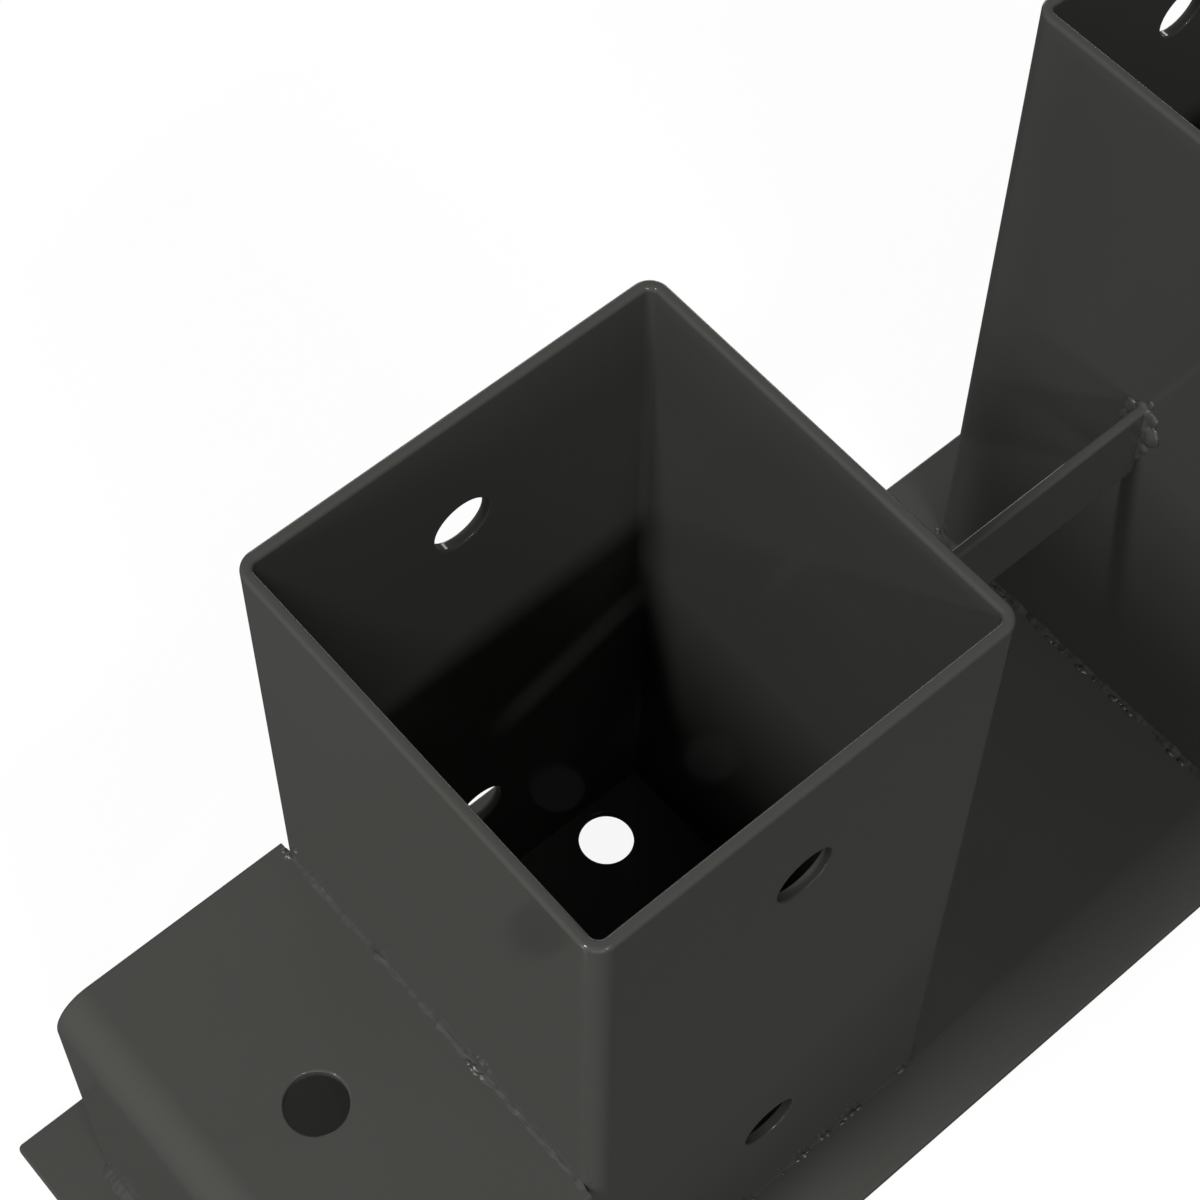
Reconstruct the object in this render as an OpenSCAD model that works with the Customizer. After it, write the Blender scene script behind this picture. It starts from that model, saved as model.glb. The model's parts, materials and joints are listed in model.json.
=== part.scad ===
// Log rack bracket: a welded steel foot that holds two upright posts and, outside them,
// two beams that run through under folded brackets.
// Lengths are in millimetres. X runs along the base plate, Y across it, and Z up from its underside.

/* [Base plate] */
// Thickness of the base plate
plate_t = 2; // [1.5:0.5:6]
// Distance from a tube to the long edge of the plate
side_margin = 15; // [6:0.5:40]
// Distance from a beam bracket to the end of the plate
end_margin = 11.5; // [5:0.5:40]
// Radius of the plate's four corners
plate_corner_r = 1; // [0.5:0.5:5]

/* [Post sockets] */
// Outer width of the square tube
tube_w = 90; // [70:1:130]
// Wall of the tube
tube_wall = 2; // [1.5:0.5:3.5]
// Radius inside the tube's corners
tube_inner_r = 2; // [0.5:0.5:6]
// Height of the tube above the plate
tube_h = 180; // [130:5:260]
// Clear distance between the two tubes
socket_gap = 92; // [50:1:180]

/* [Bolt holes] */
// Diameter of the bolt holes through the tubes
bolt_d = 12; // [6:0.5:16]
// Height of the lower bolt holes above the plate
lower_hole_z = 37.5; // [20:0.5:60]
// Distance from the rim down to the upper bolt holes
upper_hole_drop = 32.5; // [15:0.5:50]

/* [Floor holes] */
// Diameter of the hole in the floor of each socket
floor_hole_d = 12; // [5:0.5:14]
// Distance from the tube's inside face to the floor hole's centre, along the plate
floor_inset_x = 15.5; // [9:0.5:40]
// Distance from the tube's inside face to the floor hole's centre, across the plate
floor_inset_y = 8.5; // [8:0.5:30]

/* [Beam brackets] */
// Clear width of the channel that the beam lies in
channel_w = 50.5; // [35:0.5:90]
// Clear height of the channel
channel_h = 77; // [40:1:100]
// Sheet thickness of the folded bracket
bracket_t = 2; // [1.5:0.5:4]
// Inside radius of the fold
fold_r = 6; // [2:0.5:12]
// Diameter of the screw hole in the top of the bracket
screw_d = 12; // [5:0.5:14]

/* [Tie bar] */
// Height of the bar's lower edge above the plate
tie_z = 78; // [20:1:100]
// Height of the bar, which stands on edge
tie_h = 23; // [12:1:28]
// Thickness of the bar
tie_t = 2; // [1.5:0.5:8]

/* [Welds] */
// Leg of the weld round the foot of each tube
foot_leg = 2; // [1:0.25:4]
// Leg of the weld between a bracket and its tube
seam_leg = 2; // [1:0.25:4]
// Leg of the weld along the foot of a bracket
flange_leg = 2; // [1:0.25:4]
// Leg of the weld at each end of the tie bar
tie_leg = 5; // [2:0.25:7]

/* [Hidden] */
$fn = 96;
// Extra length with which a cutter passes the faces that it cuts
cut = 1;

// Places along X, for the side of the bracket that points to +X
socket_in = socket_gap / 2;
socket_out = socket_in + tube_w;
socket_mid = socket_in + tube_w / 2;
bracket_in = socket_out + channel_w;
bracket_out = bracket_in + bracket_t;
plate_end = bracket_out + end_margin;

// Places along Z
floor_z = plate_t;
bracket_top = floor_z + channel_h + bracket_t;
tie_low = floor_z + tie_z;
tie_top = tie_low + tie_h;
lower_bolt_z = floor_z + lower_hole_z;
upper_bolt_z = floor_z + tube_h - upper_hole_drop;

plate_w = tube_w + 2 * side_margin;
tube_outer_r = tube_inner_r + tube_wall;
floor_hole_x = socket_in + tube_wall + floor_inset_x;
floor_hole_y = tube_w / 2 - tube_wall - floor_inset_y;
screw_x = socket_out + (channel_w + bracket_t) / 2;
paint = [0.26, 0.26, 0.25];
weld_paint = [0.30, 0.30, 0.29];

// Turns the +X half's piece into the one on the chosen side: 1 keeps it, -1 mirrors it
module on_side(side) {
    if (side > 0) children();
    else mirror([1, 0, 0]) children();
}

// Rectangle about the origin with rounded corners
module rounded_rect(w, d, r) {
    union() {
        square([w - 2 * r, d], center = true);
        square([w, d - 2 * r], center = true);
        for (x = [-1, 1], y = [-1, 1])
            translate([x * (w / 2 - r), y * (d / 2 - r)]) circle(r = r);
    }
}

// Section of a fillet weld: a corner at the origin, legs along +X and +Y, and a domed face
module weld_section(leg) {
    intersection() {
        square(leg);
        translate([-leg, -leg]) circle(r = norm([2 * leg, leg]));
    }
}

// Straight weld along Y about the origin, with its legs along +X and +Z
module weld_run(length, leg) {
    rotate([90, 0, 0]) linear_extrude(height = length, center = true) weld_section(leg);
}

module base_plate() {
    color(paint) difference() {
        linear_extrude(height = plate_t) rounded_rect(2 * plate_end, plate_w, plate_corner_r);
        for (side = [-1, 1])
            translate([side * floor_hole_x, floor_hole_y, -cut])
                cylinder(d = floor_hole_d, h = plate_t + 2 * cut);
    }
}

// Square tube, open at the top, with bolt holes through both walls that face along Y
module socket(side) {
    color(paint) on_side(side) difference() {
        translate([socket_mid, 0, floor_z]) linear_extrude(height = tube_h) difference() {
            rounded_rect(tube_w, tube_w, tube_outer_r);
            rounded_rect(tube_w - 2 * tube_wall, tube_w - 2 * tube_wall, tube_inner_r);
        }
        for (z = [lower_bolt_z, upper_bolt_z])
            translate([socket_mid, 0, z]) rotate([90, 0, 0])
                cylinder(d = bolt_d, h = tube_w + 2 * cut, center = true);
    }
}

// Section of the folded sheet in X and Z: top and flange joined by a quarter ring
module bracket_section() {
    fold_x = bracket_in - fold_r;
    fold_z = bracket_top - bracket_t - fold_r;
    union() {
        translate([socket_out, bracket_top - bracket_t])
            square([fold_x - socket_out, bracket_t]);
        translate([bracket_in, floor_z])
            square([bracket_t, fold_z - floor_z]);
        translate([fold_x, fold_z]) intersection() {
            difference() {
                circle(r = fold_r + bracket_t);
                circle(r = fold_r);
            }
            square(fold_r + bracket_t + cut);
        }
    }
}

// Sheet folded down over the beam: its top butts on the tube and its flange stands on the plate
module beam_bracket(side) {
    color(paint) on_side(side) difference() {
        rotate([90, 0, 0]) linear_extrude(height = tube_w, center = true) bracket_section();
        translate([screw_x, 0, bracket_top - bracket_t - cut])
            cylinder(d = screw_d, h = bracket_t + 2 * cut);
    }
}

// Flat bar on edge between the two tubes
module tie_bar() {
    color(paint) translate([-socket_in, -tie_t / 2, tie_low])
        cube([socket_gap, tie_t, tie_h]);
}

// Weld on the plate round three faces of the tube: both sides and the face towards the tie bar
module foot_weld(side) {
    straight = tube_w - 2 * tube_outer_r;
    color(weld_paint) on_side(side) union() {
        translate([socket_in, 0, floor_z]) mirror([1, 0, 0]) weld_run(straight, foot_leg);
        for (y = [-1, 1]) {
            translate([socket_mid, y * tube_w / 2, floor_z]) rotate([0, 0, y * 90])
                weld_run(straight, foot_leg);
            translate([socket_in + tube_outer_r, y * (tube_w / 2 - tube_outer_r), floor_z])
                rotate([0, 0, 135 - y * 45])
                    rotate_extrude(angle = 90) translate([tube_outer_r, 0]) weld_section(foot_leg);
        }
    }
}

// Weld on top of the bracket, along the tube's flat face
module seam_weld(side) {
    color(weld_paint) on_side(side)
        translate([socket_out, 0, bracket_top]) weld_run(tube_w - 2 * tube_outer_r, seam_leg);
}

// Weld on the plate along the outside of the bracket's flange
module flange_weld(side) {
    color(weld_paint) on_side(side)
        translate([bracket_out, 0, floor_z]) weld_run(tube_w, flange_leg);
}

// Weld up one side of the tie bar's end, over its top edge and down the other side
module tie_weld(side) {
    color(weld_paint) on_side(side) translate([socket_in, 0, 0]) mirror([1, 0, 0]) union() {
        translate([0, 0, tie_top]) weld_run(tie_t, tie_leg);
        for (y = [-1, 1]) {
            translate([0, y * tie_t / 2, tie_low + tie_h / 2]) rotate([-y * 90, 0, 0])
                weld_run(tie_h, tie_leg);
            translate([0, y * tie_t / 2, tie_top]) rotate([45 - y * 45, 0, 0])
                rotate([90, 0, 90]) rotate_extrude(angle = 90) weld_section(tie_leg);
        }
    }
}

base_plate();
socket(-1);  // socket_left
socket(1);  // socket_right
beam_bracket(-1);  // beam_bracket_left
beam_bracket(1);  // beam_bracket_right
tie_bar();
foot_weld(-1);  // foot_weld_left
foot_weld(1);  // foot_weld_right
seam_weld(-1);  // seam_weld_left
seam_weld(1);  // seam_weld_right
flange_weld(-1);  // flange_weld_left
flange_weld(1);  // flange_weld_right
tie_weld(-1);  // tie_weld_left
tie_weld(1);  // tie_weld_right
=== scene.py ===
"""Looks of the log rack bracket: coated sheet steel with rounded edges and lumpy weld beads."""

import json
import math
import random

import bmesh
import bpy
from mathutils import Matrix, Vector, noise


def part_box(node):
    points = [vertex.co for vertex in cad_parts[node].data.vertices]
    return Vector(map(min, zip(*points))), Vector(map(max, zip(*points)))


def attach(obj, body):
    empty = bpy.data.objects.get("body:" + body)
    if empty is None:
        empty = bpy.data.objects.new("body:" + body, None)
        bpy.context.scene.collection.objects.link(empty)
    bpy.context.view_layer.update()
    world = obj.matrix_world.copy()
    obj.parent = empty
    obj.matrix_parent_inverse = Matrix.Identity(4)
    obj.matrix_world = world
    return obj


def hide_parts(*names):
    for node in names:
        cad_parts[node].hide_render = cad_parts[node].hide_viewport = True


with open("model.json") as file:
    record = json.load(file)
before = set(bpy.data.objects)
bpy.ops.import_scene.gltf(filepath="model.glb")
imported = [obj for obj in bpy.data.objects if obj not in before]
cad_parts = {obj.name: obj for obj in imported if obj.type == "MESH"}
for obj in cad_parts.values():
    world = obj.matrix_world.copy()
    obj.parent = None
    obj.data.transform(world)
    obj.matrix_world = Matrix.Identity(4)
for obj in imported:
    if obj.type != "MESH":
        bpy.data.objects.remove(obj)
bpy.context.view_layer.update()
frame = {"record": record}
mounts = {mount["name"]: mount for mount in frame["record"]["mounts"]}

MM = 0.001
UP = Vector((0, 0, 1))

# Sheets, rims and holes
PLATE = 2.0 * MM                # thickness of the base plate
PLATE_EDGE = 0.55 * MM          # rounding of the plate's edges
PLATE_CORNER = 0.6 * MM         # corner radius of the plate's flat faces
WALL = 2.3 * MM                 # tube wall, bracket and bar as they look under the coating
EDGE = 0.8 * MM                 # rounding of their edges and of the rims
TUBE_R = 4.0 * MM - WALL / 2    # corner radius at the middle of the tube's wall
FOLD_R = 8.0 * MM - WALL / 2    # fold radius at the middle of the bracket's sheet
HOLE_R = mounts["floor_hole_right"]["dims"]["r_mm"] * MM    # bolt, screw and floor holes
HOLE_EDGE = 0.45 * MM           # rounding of the holes' edges

# Fineness of the sheets' meshes
EDGE_STEPS = 3                  # resolution of a rounded edge
HOLE_STEPS = 72                 # facets round a hole
CORNER_STEPS = 14               # facets round a corner of the tube
FOLD_STEPS = 28                 # facets round the bracket's fold
SPARE = 4.0 * MM                # length that is left over at a sheet's end and cut off
SQUARE = 0.01 * MM              # radius of a corner that is as good as square
MERGE = 0.002 * MM              # vertices closer than this become one
TINY = 0.0005 * MM              # edges shorter than this go, and a vertex this near a cut is on it
CREASE = math.radians(40)       # edges that turn by more than this stay sharp

# Weld beads
RIPPLE = 1.7 * MM               # distance between the ripples of a bead
FOOT_SIDES = 0.42               # foot bead on the tube's sides, as a share of its size towards the tie bar
STATION = 0.3 * MM              # distance between the sections of a bead
BAR_STATION = 0.25 * MM         # the same at the tie bar's ends
BAR_BEAD_START = 5.5 * MM       # height at which the bar's beads start, from its lower edge
SECTION_STEPS = 12              # facets across a bead
OVERLAP = 8                     # degrees by which a bead's face runs on into the metal beside it
ROOT = 0.1                      # depth of a bead's root inside the metal, in millimetres
TAPER = 1.5                     # length of a bead's rounded end, in legs
LEAST_SIZE = 0.15               # share of its size that a bead keeps where it shrinks most
SEAM_SHORT = 0.5 * MM           # from a seam bead's end to the middle of the tube's side wall
WELD_GRAIN = 0.2 * MM           # mesh size at which a bead and its lumps melt together

# Drops of spatter
GROUP = 4                       # drops in a group
GROUP_SPREAD = 0.012            # spread of a group along the bead, as a share of the bead's length
DROP_SIZE = (0.25, 0.6)         # smallest and largest radius, in millimetres
DROP_REACH = (0.5, 1.4)         # distance from the bead's corner, in legs
DROP_RISE = 0.3                 # height of the middle above the metal, in radii
DROP_LENGTH = (1, 2.2)          # half length along the bead, in radii
DROP_HEIGHT = 0.8               # half height, in radii

# Lumps of the weld round the tie bar's end: place across the bar, height from its top edge, radius
BAR_LUMPS = [(y * MM, z * MM, r * MM) for y, z, r in (
    (-3.0, -7.6, 2.6), (-2.6, -2.4, 1.7), (-1.2, 1.6, 1.1), (2.8, -3.2, 2.2),
    (3.8, -7.6, 1.7), (2.6, -12.5, 1.5), (-2.0, -12.6, 1.6))]
LUMP_SHAPE = (0.42, 0.9, 1.2)   # half sizes of a lump along X, Y and Z, in radii

# Coating: scale and detail of the noise
DRIFT = (24, 5)                 # slow drift of its colour
SHEEN = (160, 3)                # uneven gloss
PEEL = (900, 2)                 # orange peel

# Studio, in metres
FLOOR_HALF = 4.0                # half the side of the floor
FLOOR_DROP = 0.05 * MM          # gap between the plate and the floor
FLOOR_WHITE = 0.92              # share of plain white in the floor, the rest of it keeps the shadow
MIRRORED_WHITE = 0.02           # share of plain white that the coating mirrors
SKY = 0.125                     # strength of the light from all round
STRIP_HEIGHT = 4.2              # height of the long lamps
LAMP_DISTANCE = 2.0             # distance of the soft lamps from the object's middle

# Camera
EYE = Vector((-255.4, -181.0, 596.6)) * MM
HEADING = math.radians(41.21)   # direction that it looks in, from +Y towards +X
DIP = math.radians(56.24)       # and how far below the level
ROLL = math.radians(0.636)      # turn about that direction
SENSOR = 36                     # width of its sensor, in millimetres
LENS = 90.66                    # focal length, in millimetres
SHIFT = -0.15                   # upward shift of the picture, in picture widths
NEAREST = 0.01                  # nearest distance that it sees

tube_lo, tube_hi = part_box("socket_right")
fold_lo, fold_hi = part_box("beam_bracket_right")
plate_lo, plate_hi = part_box("base_plate")
bar_lo, bar_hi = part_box("tie_bar")
tube_half = (tube_hi.x - tube_lo.x) / 2
tube_mid = (tube_hi.x + tube_lo.x) / 2
floor_z = plate_hi.z
fold_z = fold_hi.z
bolt_heights = [mounts["post_bolt_right_" + place]["pos_m"][2] for place in ("lower", "upper")]
floor_hole_x, floor_hole_y, _ = mounts["floor_hole_right"]["pos_m"]

# The tube's wall, unrolled: u runs round it from the middle of the face towards the tie bar
wall_half = tube_half - WALL / 2
flat = 2 * (wall_half - TUBE_R)
arc = TUBE_R * math.pi / 2
quarter = flat / 2 + arc + flat / 2
tube_round = 4 * (flat + arc)


def shader_tree(name):
    """A new material, its node tree and its principled shader."""
    mat = bpy.data.materials.new(name)
    mat.use_nodes = True
    tree = mat.node_tree
    return mat, tree, tree.nodes["Principled BSDF"]


def coating(name, dark, light, rough, specular, peel, depth):
    """Semi-gloss coating: slow colour drift, slightly uneven gloss and a faint orange peel."""
    mat, tree, shader = shader_tree(name)
    nodes, links = tree.nodes, tree.links
    where = nodes.new("ShaderNodeTexCoord")

    def noise_at(scale, detail):
        tex = nodes.new("ShaderNodeTexNoise")
        tex.inputs["Scale"].default_value = scale
        tex.inputs["Detail"].default_value = detail
        links.new(where.outputs["Object"], tex.inputs["Vector"])
        return tex.outputs["Fac"]

    drift = nodes.new("ShaderNodeValToRGB")
    for stop, position, color in zip(drift.color_ramp.elements, (0.35, 0.65), (dark, light)):
        stop.position = position
        stop.color = (*color, 1)
    links.new(noise_at(*DRIFT), drift.inputs["Fac"])
    links.new(drift.outputs["Color"], shader.inputs["Base Color"])

    gloss = nodes.new("ShaderNodeMapRange")
    for end, value in zip(("From Min", "From Max", "To Min", "To Max"), (0.3, 0.7, *rough)):
        gloss.inputs[end].default_value = value
    links.new(noise_at(*SHEEN), gloss.inputs["Value"])
    links.new(gloss.outputs["Result"], shader.inputs["Roughness"])

    bump = nodes.new("ShaderNodeBump")
    bump.inputs["Strength"].default_value = peel
    bump.inputs["Distance"].default_value = depth
    links.new(noise_at(*PEEL), bump.inputs["Height"])
    links.new(bump.outputs["Normal"], shader.inputs["Normal"])

    shader.inputs["Specular IOR Level"].default_value = specular
    return mat


paint = coating("coated_steel", dark=(0.0545, 0.0545, 0.0505), light=(0.0560, 0.0560, 0.0520),
                rough=(0.10, 0.13), specular=0.20, peel=0.012, depth=0.02 * MM)
# Painted shade: the welds' coating is darker than the sheets' coating, standing in for the shade in the
# creases along the beads
bead_paint = coating("coated_weld", dark=(0.040, 0.040, 0.0388), light=(0.052, 0.052, 0.0505),
                     rough=(0.18, 0.90), specular=0.06, peel=0.5, depth=0.08 * MM)
lump_paint = coating("coated_spatter", dark=(0.045, 0.045, 0.0435), light=(0.056, 0.056, 0.0545),
                     rough=(0.20, 0.40), specular=0.45, peel=0.3, depth=0.05 * MM)


def hole_outline(u, v, r):
    """Clockwise circle."""
    return [(u + r * math.cos(a), v - r * math.sin(a))
            for a in (2 * math.pi * i / HOLE_STEPS for i in range(HOLE_STEPS))]


def box_outline(u0, v0, u1, v1, r, steps=1):
    """Counter-clockwise rectangle with corners of radius r."""
    pts = []
    for cu, cv, start in ((u1 - r, v0 + r, -90), (u1 - r, v1 - r, 0),
                          (u0 + r, v1 - r, 90), (u0 + r, v0 + r, 180)):
        for i in range(steps + 1):
            a = math.radians(start + 90 * i / steps)
            pts.append((cu + r * math.cos(a), cv + r * math.sin(a)))
    return pts


def sheet_mesh(outline, holes, thick, edge):
    """Flat sheet with evenly rounded edges, whose outline is given where its flat faces end."""
    curve = bpy.data.curves.new("sheet", "CURVE")
    curve.dimensions = "2D"
    curve.fill_mode = "BOTH"
    curve.extrude = thick / 2 - edge
    curve.bevel_depth = edge
    curve.bevel_resolution = EDGE_STEPS
    for pts in [outline] + [hole_outline(u, v, HOLE_R + edge) for u, v in holes]:
        spline = curve.splines.new("POLY")
        spline.points.add(len(pts) - 1)
        for point, (u, v) in zip(spline.points, pts):
            point.co = (u, v, 0, 1)
        spline.use_cyclic_u = True
    maker = bpy.data.objects.new("sheet", curve)
    bpy.context.scene.collection.objects.link(maker)
    mesh = bpy.data.meshes.new_from_object(maker.evaluated_get(bpy.context.evaluated_depsgraph_get()))
    bpy.data.objects.remove(maker)
    bm = bmesh.new()
    bm.from_mesh(mesh)
    bpy.data.meshes.remove(mesh)
    bmesh.ops.remove_doubles(bm, verts=bm.verts, dist=MERGE)
    return bm


def flat_sheet(outline, holes, thick=WALL, edge=EDGE):
    """Flat sheet in u, v and w, whose holes are rounded more sharply than its outline."""
    bm = sheet_mesh(outline, holes, thick, edge)
    rim = HOLE_R + edge * 1.01      # just past a hole's rounded edge
    sharper = HOLE_EDGE / edge
    for u, v in holes:
        for vert in bm.verts:
            off = Vector((vert.co.x - u, vert.co.y - v))
            if off.length < rim:
                off *= (HOLE_R + (off.length - HOLE_R) * sharper) / off.length
                depth = (thick / 2 - abs(vert.co.z)) * sharper
                vert.co = (u + off.x, v + off.y, math.copysign(thick / 2 - depth, vert.co.z))
    return bm


def cut(bm, at, normal, drop=False, close=False):
    """Cuts the sheet along a plane: drop takes away what lies on the normal's side, close fills the cut."""
    geom = bm.verts[:] + bm.edges[:] + bm.faces[:]
    made = bmesh.ops.bisect_plane(bm, geom=geom, dist=TINY, plane_co=at, plane_no=normal,
                                  clear_outer=drop)
    if close:
        rim = [e for e in made["geom_cut"] if isinstance(e, bmesh.types.BMEdge)]
        bmesh.ops.holes_fill(bm, edges=rim, sides=0)


def cut_ends(bm, start, end, close=True):
    """Cuts the spare length off both ends of a sheet, along u."""
    cut(bm, (start, 0, 0), (-1, 0, 0), drop=True, close=close)
    cut(bm, (end, 0, 0), (1, 0, 0), drop=True, close=close)


def cut_facets(bm, start, length, steps):
    """Cuts a stretch of the sheet into the facets of a bend, along u."""
    for i in range(steps + 1):
        cut(bm, (start + length * i / steps, 0, 0), (1, 0, 0))


def finish_piece(bm, name, mats, stands_for, weighted=True):
    """Turns the mesh into a smooth-shaded piece that stands for a node."""
    bmesh.ops.remove_doubles(bm, verts=bm.verts, dist=MERGE)
    bmesh.ops.dissolve_degenerate(bm, edges=bm.edges, dist=TINY)
    bmesh.ops.recalc_face_normals(bm, faces=bm.faces)
    for face in bm.faces:
        face.smooth = True
    for e in bm.edges:
        e.smooth = len(e.link_faces) == 2 and e.calc_face_angle(0) < CREASE
    mesh = bpy.data.meshes.new(name)
    bm.to_mesh(mesh)
    bm.free()
    for mat in mats:
        mesh.materials.append(mat)
    piece = bpy.data.objects.new(name, mesh)
    bpy.context.scene.collection.objects.link(piece)
    if weighted:
        even = piece.modifiers.new("even", "WEIGHTED_NORMAL")
        even.keep_sharp = True
    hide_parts(stands_for)
    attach(piece, "root")
    return piece


def tube_wall(u):
    """Point in the middle of the wall and the outward normal, about the tube's axis."""
    turns, along = divmod(u % tube_round + flat / 2, flat + arc)
    if along <= flat:
        point = Vector((-wall_half, along - flat / 2))
        normal = Vector((-1, 0))
    else:
        a = (along - flat) / TUBE_R
        normal = Vector((-math.cos(a), math.sin(a)))
        point = Vector((-(wall_half - TUBE_R), wall_half - TUBE_R)) + normal * TUBE_R
    turn = Matrix.Rotation(-turns * math.pi / 2, 2)
    return turn @ point, turn @ normal


def build_socket(word, side):
    """Square tube, its rim and bolt holes rounded, from one sheet that is rolled up."""
    outline = box_outline(-SPARE, floor_z - SPARE, tube_round + SPARE, tube_hi.z - EDGE, SQUARE)
    bm = flat_sheet(outline, [(u, z) for u in (quarter, tube_round - quarter) for z in bolt_heights])
    cut(bm, (0, floor_z, 0), (0, -1, 0), drop=True, close=True)
    cut_ends(bm, 0, tube_round, close=False)
    for corner in range(4):
        cut_facets(bm, flat / 2 + corner * (flat + arc), arc, CORNER_STEPS)
    for v in bm.verts:
        u, z, w = v.co
        point, normal = tube_wall(min(max(u, 0), tube_round))
        p = point + normal * w
        v.co = (side * (tube_mid + p.x), p.y, z)
    finish_piece(bm, "socket_" + word + "_tube", [paint], "socket_" + word)


def build_bracket(word, side):
    """Sheet folded over the beam: flat top, quarter bend and flange down to the plate."""
    axis_x = fold_hi.x - WALL / 2 - FOLD_R
    axis_z = fold_z - WALL / 2 - FOLD_R
    top = axis_x - fold_lo.x
    bend = FOLD_R * math.pi / 2
    total = top + bend + axis_z - floor_z
    outline = box_outline(-SPARE, fold_lo.y + EDGE, total + SPARE, fold_hi.y - EDGE, SQUARE)
    screw_u = (fold_hi.x - fold_lo.x) / 2
    bm = flat_sheet(outline, [(screw_u, 0)])
    cut_ends(bm, 0, total)
    cut_facets(bm, top, bend, FOLD_STEPS)
    for v in bm.verts:
        u, y, w = v.co
        if u <= top:
            x, z = fold_lo.x + u, fold_z - WALL / 2 + w
        elif u >= top + bend:
            x, z = fold_hi.x - WALL / 2 + w, axis_z - (u - top - bend)
        else:
            a = (u - top) / FOLD_R
            x = axis_x + (FOLD_R + w) * math.sin(a)
            z = axis_z + (FOLD_R + w) * math.cos(a)
        v.co = (side * x, y, z)
    finish_piece(bm, "beam_bracket_" + word + "_sheet", [paint], "beam_bracket_" + word)


def build_plate():
    """Base plate with eased edges and corners."""
    outline = box_outline(plate_lo.x + PLATE_EDGE, plate_lo.y + PLATE_EDGE,
                          plate_hi.x - PLATE_EDGE, plate_hi.y - PLATE_EDGE, PLATE_CORNER, steps=8)
    holes = [(side * floor_hole_x, floor_hole_y) for side in (-1, 1)]
    bm = flat_sheet(outline, holes, PLATE, PLATE_EDGE)
    for v in bm.verts:
        v.co.z += plate_lo.z + PLATE / 2
    finish_piece(bm, "plate_sheet", [paint], "base_plate")


def build_bar():
    """Tie bar on edge between the tubes."""
    outline = box_outline(bar_lo.x - SPARE, bar_lo.z + EDGE, bar_hi.x + SPARE, bar_hi.z - EDGE, SQUARE)
    bm = flat_sheet(outline, [])
    cut_ends(bm, bar_lo.x, bar_hi.x)
    for v in bm.verts:
        x, z, y = v.co
        v.co = (x, y, z)
    finish_piece(bm, "tie_bar_sheet", [paint], "tie_bar")


def lump(bm, place, axes, radii, seed):
    """Uneven round lump of metal, stretched along three axes."""
    turn = Matrix(axes).transposed()
    shift = Vector((seed, 0, 0))
    made = bmesh.ops.create_icosphere(bm, subdivisions=3, radius=1)
    for v in made["verts"]:
        rough = 1 + 0.24 * noise.noise(v.co * 1.3 + shift) + 0.13 * noise.noise(v.co * 3.7 - shift)
        v.co = place + turn @ Vector([c * r * rough for c, r in zip(v.co, radii)])
    for face in {face for v in made["verts"] for face in v.link_faces}:
        face.material_index = 1


def wander(run, length, seed, across=0.0):
    """Smooth noise along a bead, with humps about as long as the given length."""
    return noise.noise((run / length, seed, across))


def bead_mesh(stations, legs, seed, swell, ripple=0.0):
    """Weld bead along stations: corner point, directions of its two legs, and share of its full size.

    Its size swells and shrinks slowly by noise and quickly by the ripples of the weld pool.
    """
    bm = bmesh.new()
    rings = []
    total = sum((b[0] - a[0]).length for a, b in zip(stations, stations[1:]))
    run = 0.0
    last = stations[0][0]
    for corner, da, db, full in stations:
        run += (corner - last).length
        last = corner
        end = min(run, total - run) / (TAPER * max(legs))
        taper = math.sqrt(max(0.0, 1 - (1 - min(end, 1)) ** 2))
        slow = wander(run, 8.0 * MM, seed) + 0.5 * wander(run, 2.6 * MM, seed + 3.1)
        wave = math.sin(2 * math.pi * run / RIPPLE + 4 * wander(run, 5.0 * MM, seed + 9.3))
        gain = max(LEAST_SIZE, 1 + swell * slow + ripple * wave)
        ring = []
        for j in range(SECTION_STEPS + 1):
            phi = math.radians(-OVERLAP + (90 + 2 * OVERLAP) * j / SECTION_STEPS)
            c, s = math.cos(phi), math.sin(phi)
            dome = math.sqrt((c + s) ** 2 + 3) - (c + s)
            here = wander(run, 2.0 * MM, seed + 1.7, 2.2 * j / SECTION_STEPS)
            size = taper * dome * gain * full * (1 + 0.35 * swell * here)
            ring.append(bm.verts.new(corner + da * (legs[0] * size * c) + db * (legs[1] * size * s)))
        ring.append(bm.verts.new(corner - (da + db) * ROOT * MM))
        rings.append(ring)
    for a, b in zip(rings, rings[1:]):
        for j in range(len(a)):
            k = (j + 1) % len(a)
            bm.faces.new((a[j], b[j], b[k], a[k]))
    bm.faces.new(rings[0])
    bm.faces.new(rings[-1])
    return bm


def spatter(bm, stations, legs, seed, drops):
    """Drops of metal in small groups that are spread evenly beside a bead."""
    dice = random.Random(seed)
    groups = math.ceil(drops / GROUP)
    for i in range(drops):
        if i % GROUP == 0:
            spot = (i // GROUP + dice.random()) / groups
        along = min(max(dice.gauss(spot, GROUP_SPREAD), 0), 1)
        corner, da, db, full = stations[round(along * (len(stations) - 1))]
        radius = dice.uniform(*DROP_SIZE) * MM
        place = corner + da * legs[0] * full * dice.uniform(*DROP_REACH) + db * radius * DROP_RISE
        radii = (radius * dice.uniform(*DROP_LENGTH), radius, radius * DROP_HEIGHT)
        lump(bm, place, (da.cross(db), da, db), radii, seed + i)


def line_stations(a, b, da, db, step=STATION):
    """Stations of a straight bead from a to b."""
    count = max(2, round((b - a).length / step))
    return [(a.lerp(b, i / count), da, db, 1) for i in range(count + 1)]


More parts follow.
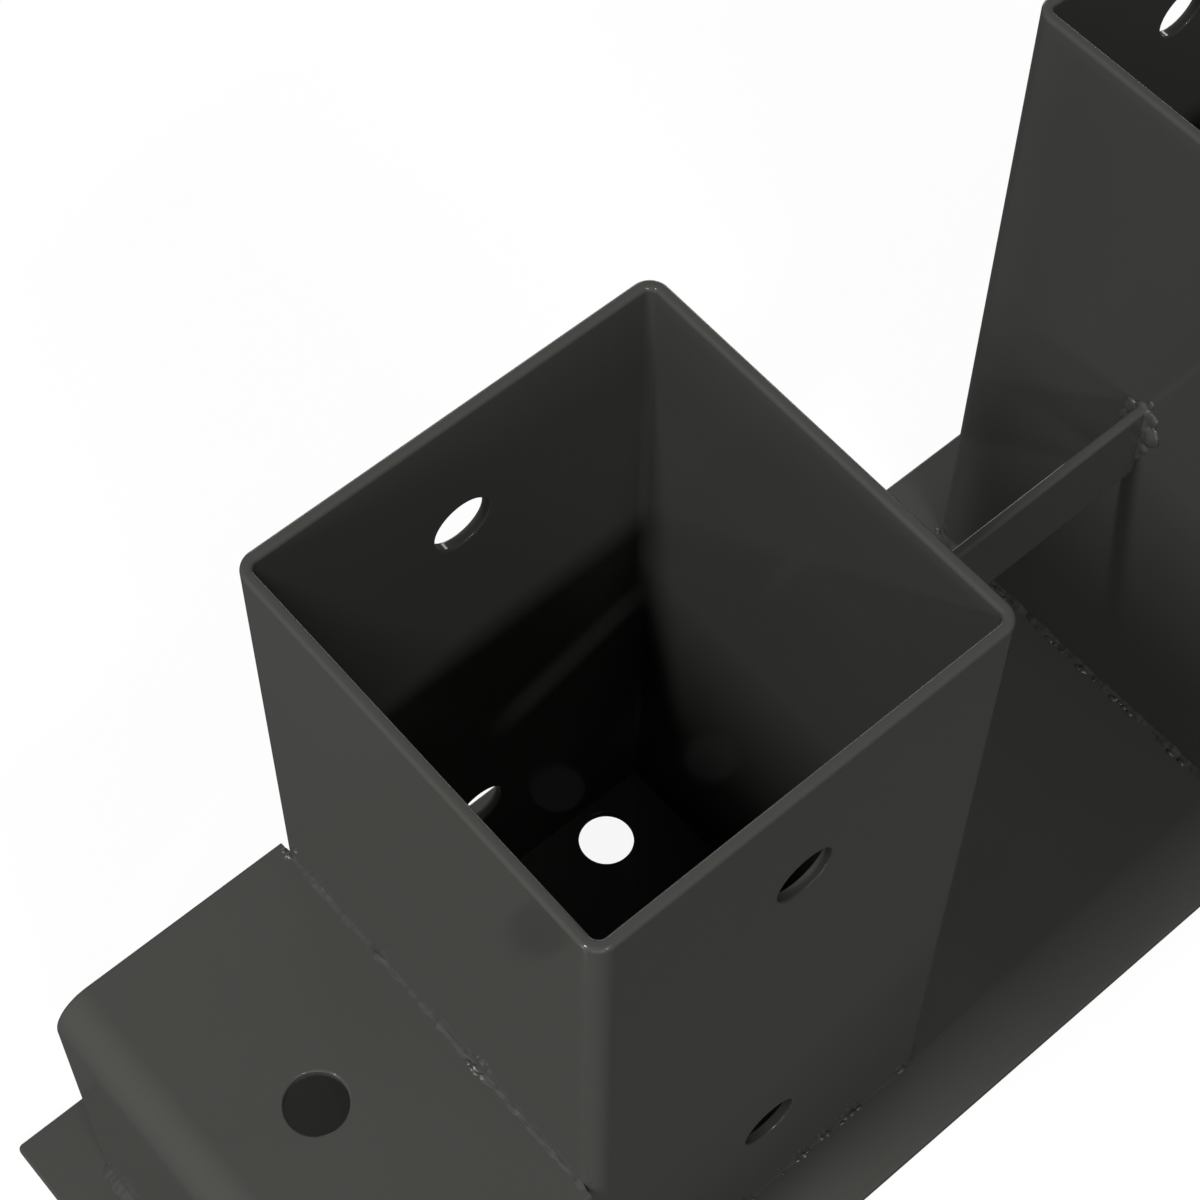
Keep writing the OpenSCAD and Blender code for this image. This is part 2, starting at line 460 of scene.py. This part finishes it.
def foot_stations(side):
    """Round the tube's foot: one side, the face towards the tie bar and the other side."""
    reach = flat / 2 + arc + flat
    count = round(2 * reach / STATION)
    out = []
    for i in range(count + 1):
        u = -reach + 2 * reach * i / count
        point, normal = tube_wall(u)
        p = point + normal * WALL / 2
        round_corner = min(max((flat / 2 + arc - abs(u)) / arc, 0), 1)
        out.append((Vector((side * (tube_mid + p.x), p.y, floor_z)),
                    Vector((side * normal.x, normal.y, 0)), UP,
                    FOOT_SIDES + (1 - FOOT_SIDES) * round_corner))
    return out


def bar_end_stations(side):
    """Up one side of the bar's end, over its top edge and down the other side."""
    half = WALL / 2
    away = Vector((-side, 0, 0))
    x = side * bar_hi.x
    sides = []
    for y in (-1, 1):
        foot = Vector((x, y * half, bar_lo.z + BAR_BEAD_START))
        top = Vector((x, y * half, bar_hi.z - half))
        sides.append(line_stations(foot, top, away, Vector((0, y, 0)), BAR_STATION))
    over = []
    steps = 14
    for i in range(1, steps):
        a = math.pi * i / steps
        d = Vector((0, -math.cos(a), math.sin(a)))
        over.append((Vector((x, 0, bar_hi.z - half)) + d * half, away, d, 1))
    return sides[0] + over + sides[1][::-1]


def build_fillet(name, stands_for, stations, legs, seed, swell, ripple, drops):
    """Weld bead with spatter beside it."""
    bm = bead_mesh(stations, legs, seed, swell, ripple)
    spatter(bm, stations, legs, seed, drops)
    finish_piece(bm, name, [bead_paint, lump_paint], stands_for)


def build_foot_bead(word, side):
    """Bead round the foot of a tube."""
    build_fillet("foot_bead_" + word, "foot_weld_" + word, foot_stations(side),
                 (1.2 * MM, 0.8 * MM), 11 + side, swell=0.9, ripple=0.05, drops=92)


def build_seam_bead(word, side):
    """Bead between a bracket's top and its tube."""
    half = wall_half - SEAM_SHORT
    x = side * fold_lo.x
    stations = line_stations(Vector((x, -half, fold_z)), Vector((x, half, fold_z)),
                             Vector((side, 0, 0)), UP)
    build_fillet("seam_bead_" + word, "seam_weld_" + word, stations,
                 (0.85 * MM, 0.6 * MM), 23 + side, swell=1.2, ripple=0.06, drops=12)


def build_flange_bead(word, side):
    """Bead along the foot of a bracket's flange."""
    x = side * fold_hi.x
    stations = line_stations(Vector((x, fold_lo.y, floor_z)), Vector((x, fold_hi.y, floor_z)),
                             Vector((side, 0, 0)), UP)
    build_fillet("flange_bead_" + word, "flange_weld_" + word, stations,
                 (1.7 * MM, 1.5 * MM), 37 + side, swell=0.5, ripple=0.05, drops=16)


def build_bar_bead(word, side):
    """Bead round an end of the tie bar, with large lumps that melt together with it."""
    seed = 51 + side
    axes = (Vector((side, 0, 0)), Vector((0, 1, 0)), UP)
    bm = bead_mesh(bar_end_stations(side), (1.2 * MM, 1.2 * MM), seed, swell=0.4)
    for i, (y, z, r) in enumerate(BAR_LUMPS):
        place = Vector((side * bar_hi.x, y, bar_hi.z + z))
        lump(bm, place, axes, [share * r for share in LUMP_SHAPE], seed - i)
    piece = finish_piece(bm, "bar_bead_" + word, [lump_paint], "tie_weld_" + word,
                         weighted=False)
    melt = piece.modifiers.new("melt", "REMESH")
    melt.mode = "VOXEL"
    melt.voxel_size = WELD_GRAIN
    melt.use_smooth_shade = True
    even = piece.modifiers.new("even", "SMOOTH")
    even.factor = 0.6
    even.iterations = 2


for side, word in ((-1, "left"), (1, "right")):
    build_socket(word, side)
    build_bracket(word, side)
    build_foot_bead(word, side)
    build_seam_bead(word, side)
    build_flange_bead(word, side)
    build_bar_bead(word, side)
build_plate()
build_bar()


def seen_as_background(tree, shader, camera_share, glossy_share):
    """Mixes in plain white for the rays that see the background: camera, glossy and transmission rays."""
    nodes, links = tree.nodes, tree.links
    rays = nodes.new("ShaderNodeLightPath")
    white = nodes.new("ShaderNodeEmission")
    white.inputs["Strength"].default_value = 1.0
    gloss = nodes.new("ShaderNodeMath")
    gloss.operation = "MULTIPLY"
    gloss.inputs[1].default_value = glossy_share
    links.new(rays.outputs["Is Glossy Ray"], gloss.inputs[0])
    eye = nodes.new("ShaderNodeMath")
    eye.operation = "MULTIPLY_ADD"
    eye.inputs[1].default_value = camera_share
    links.new(rays.outputs["Is Camera Ray"], eye.inputs[0])
    links.new(gloss.outputs[0], eye.inputs[2])
    through = nodes.new("ShaderNodeMath")
    through.operation = "MAXIMUM"
    links.new(eye.outputs[0], through.inputs[0])
    links.new(rays.outputs["Is Transmission Ray"], through.inputs[1])
    mix = nodes.new("ShaderNodeMixShader")
    links.new(through.outputs[0], mix.inputs["Fac"])
    links.new(shader, mix.inputs[1])
    links.new(white.outputs[0], mix.inputs[2])
    return mix.outputs[0]


def pale_floor():
    """Matt floor: pale for the camera, and dark for the light that it would throw back up."""
    mat, tree, shader = shader_tree("pale_floor")
    shader.inputs["Roughness"].default_value = 0.9
    shader.inputs["Specular IOR Level"].default_value = 0.0
    rays = tree.nodes.new("ShaderNodeLightPath")
    color = tree.nodes.new("ShaderNodeMix")
    color.data_type = "RGBA"
    color.inputs["A"].default_value = (0.05, 0.05, 0.05, 1)
    color.inputs["B"].default_value = (0.95, 0.95, 0.95, 1)
    tree.links.new(rays.outputs["Is Camera Ray"], color.inputs["Factor"])
    tree.links.new(color.outputs["Result"], shader.inputs["Base Color"])
    tree.links.new(seen_as_background(tree, shader.outputs[0], FLOOR_WHITE, MIRRORED_WHITE),
                   tree.nodes["Material Output"].inputs["Surface"])
    return mat


def build_floor():
    """Square of floor under the object."""
    h = FLOOR_HALF
    mesh = bpy.data.meshes.new("floor")
    mesh.from_pydata([(-h, -h, 0), (h, -h, 0), (h, h, 0), (-h, h, 0)], [], [(0, 1, 2, 3)])
    mesh.materials.append(pale_floor())
    floor = bpy.data.objects.new("floor", mesh)
    floor.location.z = -FLOOR_DROP
    bpy.context.scene.collection.objects.link(floor)


def build_sky():
    """Weak even light from all round, and a white background."""
    world = bpy.data.worlds.new("studio")
    bpy.context.scene.world = world
    world.use_nodes = True
    tree = world.node_tree
    sky = tree.nodes["Background"]
    sky.inputs["Color"].default_value = (1, 1, 1, 1)
    sky.inputs["Strength"].default_value = SKY
    tree.links.new(seen_as_background(tree, sky.outputs[0], 1.0, MIRRORED_WHITE),
                   tree.nodes["World Output"].inputs["Surface"])


def lamp(name, where, width, height, power):
    """Rectangular lamp at a place, which shines straight down."""
    data = bpy.data.lights.new(name, "AREA")
    data.shape = "RECTANGLE"
    data.size = width
    data.size_y = height
    data.energy = power
    made = bpy.data.objects.new(name, data)
    made.location = where
    bpy.context.scene.collection.objects.link(made)
    return made


def strip(name, start, end, width, power):
    """Long narrow lamp that hangs level, from one end to the other, and shines down."""
    a, b = Vector((*start, STRIP_HEIGHT)), Vector((*end, STRIP_HEIGHT))
    made = lamp(name, (a + b) / 2, (b - a).length, width, power)
    made.rotation_euler = (0, 0, math.atan2(b.y - a.y, b.x - a.x))


def softbox(name, azimuth, elevation, width, height, power):
    """Lamp that shines on the object's middle, its azimuth from +X towards +Y, in degrees."""
    a, e = math.radians(azimuth), math.radians(elevation)
    out = Vector((math.cos(a) * math.cos(e), math.sin(a) * math.cos(e), math.sin(e)))
    aim = Vector((0, 0, (plate_lo.z + tube_hi.z) / 2))
    where = aim + out * LAMP_DISTANCE
    made = lamp(name, where, width, height, power)
    made.rotation_euler = (aim - where).to_track_quat("-Z", "Y").to_euler()


def build_camera():
    """Camera at the photograph's viewing angle."""
    data = bpy.data.cameras.new("camera")
    data.sensor_width = SENSOR
    data.lens = LENS
    data.shift_y = SHIFT
    data.clip_start = NEAREST
    look = Vector((math.cos(DIP) * math.sin(HEADING), math.cos(DIP) * math.cos(HEADING),
                   -math.sin(DIP)))
    turn = look.to_track_quat("-Z", "Y").to_matrix() @ Matrix.Rotation(ROLL, 3, "Z")
    camera = bpy.data.objects.new("camera", data)
    camera.location = EYE
    camera.rotation_euler = turn.to_euler()
    bpy.context.scene.collection.objects.link(camera)
    bpy.context.scene.camera = camera


build_floor()
build_sky()
strip("key", (-4.05, -0.12), (-2.395, 0.44), 0.21, 268)
strip("side", (-2.505, -5.046), (-0.488, -4.365), 0.18, 226)
softbox("low", 179, 3, 0.5, 0.16, 9.5)
softbox("back", 50, 3, 2.4, 0.5, 24)
softbox("front", -131, 8, 1.2, 0.4, 7)
softbox("top", -92, 66, 0.5, 0.5, 2.4)
build_camera()
bpy.context.scene.view_settings.view_transform = "Standard"
